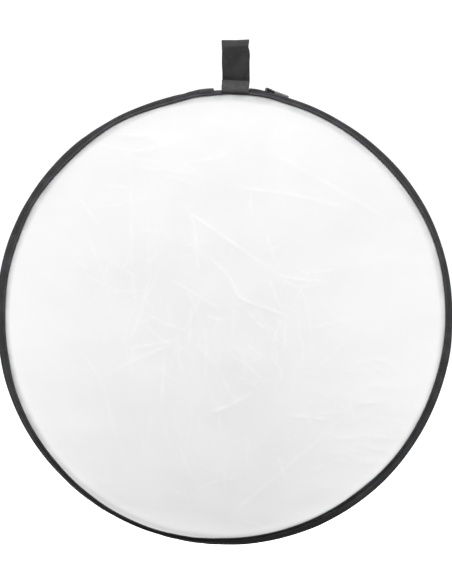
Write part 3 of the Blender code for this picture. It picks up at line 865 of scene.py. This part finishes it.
def tube_faces(base, rows, sides):
    """Faces of a closed tube whose rings of points follow one another."""
    faces = []
    for i in range(rows - 1):
        for j in range(sides):
            k = (j + 1) % sides
            faces.append((base + i * sides + j, base + i * sides + k,
                          base + (i + 1) * sides + k, base + (i + 1) * sides + j))
    faces.append([base + j for j in range(sides)][::-1])
    faces.append([base + (rows - 1) * sides + j for j in range(sides)])
    return faces


STITCH_SWELL = np.array([[0.35], [0.85], [1.0], [0.85], [0.35]])      # ends sink into the cloth
STITCH_SIDES = 6
STITCH_TURN = np.arange(STITCH_SIDES) * math.tau / STITCH_SIDES


def stitched(name, stitches):
    """One mesh of separate stitches, each a closed tube of rings."""
    rows, faces = len(STITCH_SWELL), []
    for count in range(len(stitches)):
        faces += tube_faces(count * rows * STITCH_SIDES, rows, STITCH_SIDES)
    return outward(mesh_object(name, np.vstack(stitches), faces, MATS["thread"]))


def stitch_row(name, angles, path, side):
    """Row of raised stitches along a path round the rim."""
    length, thick = 2.5 * MM, 0.24 * MM
    stitches = []
    for angle in angles:
        a = angle + np.linspace(-0.5, 0.5, len(STITCH_SWELL))[:, None] * np.degrees(length / RIM)
        radius, depth = path(a)
        r = radius + thick * STITCH_SWELL * np.cos(STITCH_TURN)
        d = depth + thick * 0.5 * (STITCH_SWELL - 0.8) + thick * 0.8 * STITCH_SWELL * np.sin(STITCH_TURN)
        stitches.append(rim_point(np.repeat(a, STITCH_SIDES, 1), r, d, side).reshape(-1, 3))
    return stitched(name, stitches)


def cover_rim(half, side, body):
    """Ribbons, zip tape, coil and stitching of one cover half."""
    band = BANDS[side]
    binding = sweep(half + "_binding", full_turn(),
                    ribbon_section(band, 3.6 * MM, RIBBON_DEPTH - 0.2 * MM, 0.4 * MM),
                    side, MATS["ribbon"], ring=True)
    facing = sweep(half + "_facing", full_turn(1.0), facing_section, side, MATS["ribbon"], ring=True)
    tape = sweep(half + "_tape", part_turn(TAPE_START, TAPE_END, 0.4), tape_section(band), side,
                 MATS["tape"])
    coil = zip_coil(half + "_coil", side, MATS["coil"])
    for obj, node, slot in ((binding, half + "_outer_ribbon", "black_ribbon"),
                            (facing, half + "_facing_ribbon", "black_ribbon"),
                            (tape, half + "_zip_tape", "zip_tape"),
                            (coil, half + "_zip_coil", "zip_coil")):
        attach(obj, body)
        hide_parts(node)
    along = np.arange(0, 360, np.degrees(3.3 * MM / RIM))
    taped = along[(along > TAPE_START + 1) & (along < TAPE_END - 1)]
    for name, angles, distance, depth in (("_binding_stitches", along, 0.9 * MM, RIBBON_DEPTH + 0.12 * MM),
                                          ("_tape_stitches", taped, 4.9 * MM, TAPE_DEPTH + 0.1 * MM)):
        row = stitch_row(half + name, angles, lambda a: band.at(a, distance, depth), side)
        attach(row, body)


def wrap_section(top, reach, depth):
    """Cloth folded over the rim from one face to the other."""
    half = [(top - reach, depth), (top - reach * 0.45, depth), (top - 0.9 * MM, depth - 0.55 * MM),
            (top - 0.12 * MM, depth - 2.0 * MM), (top, 0.0)]
    line = smooth_line(half + [(r, -d) for r, d in reversed(half[:-1])], 28)
    return thickened(line, 0.5 * MM)


def make_seam():
    """Cloth over the short seam under the loop, and the tab over the zip's end."""
    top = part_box("seam_binding")[1].z - 0.25 * MM
    seam = sweep("seam_cloth", part_turn(-5.9, 3.5, 0.3),
                 lambda angle: wrap_section(top, 4.6 * MM, TAPE_DEPTH - 0.1 * MM), FRONT,
                 MATS["ribbon"])
    start, end = -9.3, -5.45

    def tab_section(angle):
        rounded = math.sqrt(max(0.02, 1 - max(0.0, (angle - end + 0.35) / 0.36) ** 2))
        top = outer(angle) + 0.25 * MM - 1.2 * MM * (1 - rounded)
        return wrap_section(top, 4.6 * MM * rounded + 1.0 * MM, TAPE_DEPTH + 0.42 * MM)

    tab = sweep("zip_end_tab", part_turn(start, end, 0.09), tab_section, FRONT, MATS["ribbon"])
    for obj, node, slot in ((seam, "seam_binding", "black_ribbon"), (tab, "zip_start_patch", "webbing")):
        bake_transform(obj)
        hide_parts(node)


# ---- hanging loop

def make_loop():
    """Webbing loop whose two legs come out between the sewn base's two sides."""
    width = LOOP_VISIBLE_WIDTH
    top = LOOP_HIGH.z - WEBBING / 2
    pivot = LOOP_PIVOT.z
    bulge = LOOP_HIGH.y - WEBBING / 2
    leg = [(-0.72, -4.5), (-0.9, -1.6), (-1.5, 1.2), (-2.1, 4.2), (-2.7, 10), (-3.4, 20)]
    half = [(y * MM, pivot + z * MM) for y, z in leg] + [(-bulge * 0.93, pivot + 34 * MM)]
    fold = [(1, 9.4), (0.96, 7.8), (0.66, 3.2), (0.34, 0.8), (0, 0)]      # (share of bulge, mm down)
    half += [(-bulge * share, top - down * MM) for share, down in fold]
    line = smooth_line(half + [(-y, z) for y, z in reversed(half[:-1])], 170)
    normal, step = normals(line), distances(line)
    across = webbing_profile(width, WEBBING)
    points = []
    for k, (y0, z0) in enumerate(line):
        above = max(0.0, z0 - pivot)
        high = above / (top - pivot)
        share = step[k] / step[-1]
        near = math.exp(-((share - 0.35) / 0.16) ** 2)
        pinch = -1.1 * math.exp(-((high - 0.83) / 0.08) ** 2) + 0.6 * math.exp(-((high - 0.6) / 0.11) ** 2)
        right = across[:, 0] > 0
        ruck = 0.22 * math.sin(share * 23.0) * min(1, high * 5)
        x = across[:, 0] + MM * (np.where(right, pinch, ruck) * (np.abs(across[:, 0]) / width * 2) ** 3)
        soft = (0.35 * math.sin(share * 17 + 1.0) * np.cos(across[:, 0] / width * 5)
                + 0.5 * near * np.sin(across[:, 0] / width * 7 + share * 9)) * MM * min(1, high * 4)
        out = across[:, 1] + soft
        slant = 0.072 * across[:, 0] * min(1, above / (30 * MM))
        points.append(np.column_stack([x - math.tan(LEAN) * above, y0 + normal[k, 0] * out,
                                       z0 + normal[k, 1] * out + slant]))
    obj = webbing_strip("webbing_loop", np.array(points), step, across)
    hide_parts("handle_loop")
    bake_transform(obj)


def webbing_strip(name, points, step, across, look="webbing"):
    widths = distances(np.vstack([across, across[:1]]))
    obj = grid_mesh(name, points, MATS[look], False, np.append(step, 0), widths, sharp=50)
    return obj


def make_loop_base():
    """Two sides of webbing over the rim, sewn through the loop's legs between them."""
    low, top = FRONT_BASE_END, BASE_HIGH.z + 0.1 * MM
    half = [(6.3, 0), (6.6, 1.8), (6.3, 4.0), (5.5, 6.4), (4.4, 9.2), (3.2, 12.4)]
    half = [(y * MM, low + z * MM) for y, z in half] + [(2.05 * MM, top)]
    line = smooth_line(half, 34)
    normal, step = -normals(line), distances(line)
    across = webbing_profile(LOOP_VISIBLE_WIDTH, WEBBING) - np.array([0.4 * MM, 0])
    for half_name, side in (("front", FRONT), ("rear", REAR)):
        points = np.array([np.column_stack([
            across[:, 0] + 0.12 * MM * math.sin(k * 0.31),
            side * (y + normal[k, 0] * across[:, 1]),
            z + normal[k, 1] * across[:, 1] - 0.5 * across[:, 0] ** 2 / RIM * (k < 12)])
            for k, (y, z) in enumerate(line)])
        piece = webbing_strip("loop_base_" + half_name, points, step, across, "base")
        if side == FRONT:           # its lower end is sewn to the front cover's rim
            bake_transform(piece)
        else:
            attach(piece, "rear_cover")
        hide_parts("loop_base")
        thread = base_stitches("loop_stitches_" + half_name, line, step, side)
        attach(thread, "rear_cover")
        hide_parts("loop_stitching_" + half_name)


def base_stitches(name, line, step, side):
    """Box stitch with a cross in it, on one side of the base."""
    half_width, low, high = LOOP_VISIBLE_WIDTH / 2 - 3 * MM, 6.0 * MM, step[-1] - 1.6 * MM
    corners = np.array([(-half_width, low), (half_width, low), (half_width, high), (-half_width, high)])
    thick, pitch = 0.26 * MM, 2.4 * MM
    swell = np.array([[0.3], [0.85], [1.0], [0.85], [0.3]])
    run = np.linspace(-0.42, 0.42, len(swell))[:, None]
    stitches = []
    for a, b in ((0, 1), (1, 2), (2, 3), (3, 0), (0, 2), (1, 3)):
        ahead = corners[b] - corners[a]
        length = np.hypot(*ahead)
        count = max(2, round(length / pitch))
        for i in range(count):
            spine = corners[a] + ahead * (i + 0.5 + run) / count
            reach = thick * swell * np.cos(STITCH_TURN) / length
            x, s = spine[:, :1] - ahead[1] * reach, spine[:, 1:] + ahead[0] * reach
            y = (np.interp(spine[:, 1:], step, line[:, 0]) + WEBBING / 2 + thick * 0.5 * (swell - 0.6)
                 + thick * 0.8 * swell * np.sin(STITCH_TURN))
            stitches.append(np.stack([x, side * y, np.interp(s, step, line[:, 1])], -1).reshape(-1, 3))
    return stitched(name, stitches)


def webbing_profile(width, thickness):
    """Closed section of webbing as (across, out): flat faces, thicker selvages."""
    half = width / 2
    edge = [(0.0, 0.0), (0.25, 0.46), (1.2, 0.56), (2.6, 0.47)]       # (mm in, share of thickness)
    left = [(-half + x * MM, y * thickness) for x, y in edge]
    left += [(-half / 2, 0.5 * thickness), (0, 0.47 * thickness)]
    upper = left + [(-x, y) for x, y in left[-2::-1]]
    lower = [(x, -y) for x, y in upper[1:-1]][::-1]
    return np.array(upper + lower)


# ---- inner frame

def make_diffuser_ring():
    """Casing round the hoop, with the tape folded over the diffuser's edge."""

    def section(_):
        top, depth = CASING_OUTER, CASING_DEPTH
        outside = [(CASING_INNER, 0.85 * MM), (top - 7 * MM, 1.1 * MM), (top - 4.6 * MM, depth - 0.9 * MM),
                   (top - 2.2 * MM, depth), (top - 0.6 * MM, depth - 1.1 * MM), (top, 0.0)]
        line = smooth_line(outside + [(r, -d) for r, d in reversed(outside[:-1])], 30)
        return thickened(line, 0.35 * MM)

    obj = sweep("hoop_casing_tape", full_turn(), section, FRONT, MATS["ribbon"], ring=True)
    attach(obj, "diffuser")
    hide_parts("hoop_casing")


PULL_LENGTH, PULL_WIDTH, PULL_THICKNESS = 29.4 * MM, 6.5 * MM, 3.3 * MM
PULL_TILT, PULL_ROLL = math.radians(8.2), math.radians(17)


def rounded_plate(name, outlines, thickness, bevel, mat):
    """Flat outlines given a thickness and softened edges, as a mesh."""
    curve = bpy.data.curves.new(name, "CURVE")
    curve.dimensions, curve.fill_mode = "2D", "BOTH"
    curve.extrude, curve.bevel_depth, curve.bevel_resolution = thickness / 2 - bevel, bevel, 2
    curve.offset = -bevel
    for outline in outlines:
        spline = curve.splines.new("POLY")
        spline.points.add(len(outline) - 1)
        for point, (x, y) in zip(spline.points, outline):
            point.co = (x, y, 0, 1)
        spline.use_cyclic_u = True
    source = placed(name, curve)
    bpy.context.view_layer.update()
    mesh = bpy.data.meshes.new_from_object(source.evaluated_get(bpy.context.evaluated_depsgraph_get()))
    bpy.data.objects.remove(source)
    work = bmesh.new()
    work.from_mesh(mesh)
    bmesh.ops.remove_doubles(work, verts=work.verts, dist=1e-6)
    work.to_mesh(mesh)
    work.free()
    dress(mesh, mat, 35)
    return placed(name, mesh)


def capsule_outline(start, end, half):
    """Outline of a bar with two round ends, as (along, across) points."""
    turns = np.linspace(-math.pi / 2, math.pi / 2, 9)
    right = [(end - half + half * math.cos(t), half * math.sin(t)) for t in turns]
    left = [(start + half - half * math.cos(t), -half * math.sin(t)) for t in turns]
    return right + left


def make_pull():
    """Dark neck with two knuckles round the slider's arch, and a grey tab."""
    neck_end, half = 9.3 * MM, PULL_WIDTH / 2
    eye = [(0.7 * MM, -2.0 * MM), (0.7 * MM, 2.0 * MM), (5.2 * MM, 2.0 * MM), (5.2 * MM, -2.0 * MM)]
    neck = rounded_plate("pull_neck", [[(-1.3 * MM, -half), (neck_end, -half), (neck_end, half),
                                        (-1.3 * MM, half)], eye], PULL_THICKNESS, 0.3 * MM,
                         MATS["enamel"])
    tab = rounded_plate("pull_tab", [capsule_outline(neck_end - 0.6 * MM, PULL_LENGTH, half)],
                        PULL_THICKNESS * 0.8, 0.35 * MM, MATS["pull"])
    inset = rounded_plate("pull_inset", [capsule_outline(neck_end + 2.2 * MM, PULL_LENGTH - 1.6 * MM,
                                                         half - 1.5 * MM)],
                          PULL_THICKNESS * 0.8 + 0.4 * MM, 0.15 * MM, MATS["pull"])
    for obj in (neck, tab, inset):
        for vertex in obj.data.vertices:
            x, _, z = vertex.co
            heel = 0.5 * math.exp(-((x - neck_end) / (4.5 * MM)) ** 2) if z < 0 else 0.0
            vertex.co.z = z * (1.12 + heel - 0.42 * x / PULL_LENGTH)
    pieces = [neck, tab, inset]
    for side in (FRONT, REAR):
        bpy.ops.mesh.primitive_cylinder_add(vertices=28, radius=1.95 * MM, depth=2.0 * MM,
                                            location=(0, side * 2.3 * MM, 0),
                                            rotation=(math.pi / 2, 0, 0))
        knuckle = bpy.context.object
        knuckle.name = "pull_knuckle_front" if side == FRONT else "pull_knuckle_rear"
        dress(knuckle.data, MATS["enamel"], 35)
        rounding = knuckle.modifiers.new("rounding", "BEVEL")
        rounding.width, rounding.segments = 0.3 * MM, 2
        pieces.append(knuckle)
    pivot = Vector(JOINTS["pull_flip"]["pos_m"])
    turn = (Matrix.Rotation(math.radians(SLIDER_ANGLE), 4, "Y") @ Matrix.Rotation(PULL_TILT, 4, "Y")
            @ Matrix.Rotation(PULL_ROLL, 4, "X"))
    for obj in pieces:
        obj.matrix_world = Matrix.Translation(pivot) @ turn @ obj.matrix_world
        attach(obj, "pull_tab")
        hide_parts("zip_pull_tab")


def dress_nodes():
    """Materials and fine edges for CAD nodes whose shape is right."""
    looks = {"spring_hoop": "steel", "hoop_ferrule": "ferrule", "casing_end_patch": "ribbon",
             "front_top_stop": "stop", "rear_top_stop": "stop", "zip_bottom_stop": "stop",
             "zip_slider_body": "enamel"}
    for node, look in looks.items():
        obj = frame["nodes"][node]
        obj.data.materials.clear()
        obj.data.materials.append(MATS[look])
        edge = obj.modifiers.new("edges", "BEVEL")
        edge.width = 0.15 * MM
        edge.segments = 2
        edge.limit_method = "ANGLE"


make_camera()
make_stage()
MATS = make_materials()
make_panels()
cover_rim("front", FRONT, "front_cover")
cover_rim("rear", REAR, "rear_cover")
make_seam()
make_loop()
make_loop_base()
make_diffuser_ring()
make_pull()
dress_nodes()

bpy.context.view_layer.update()
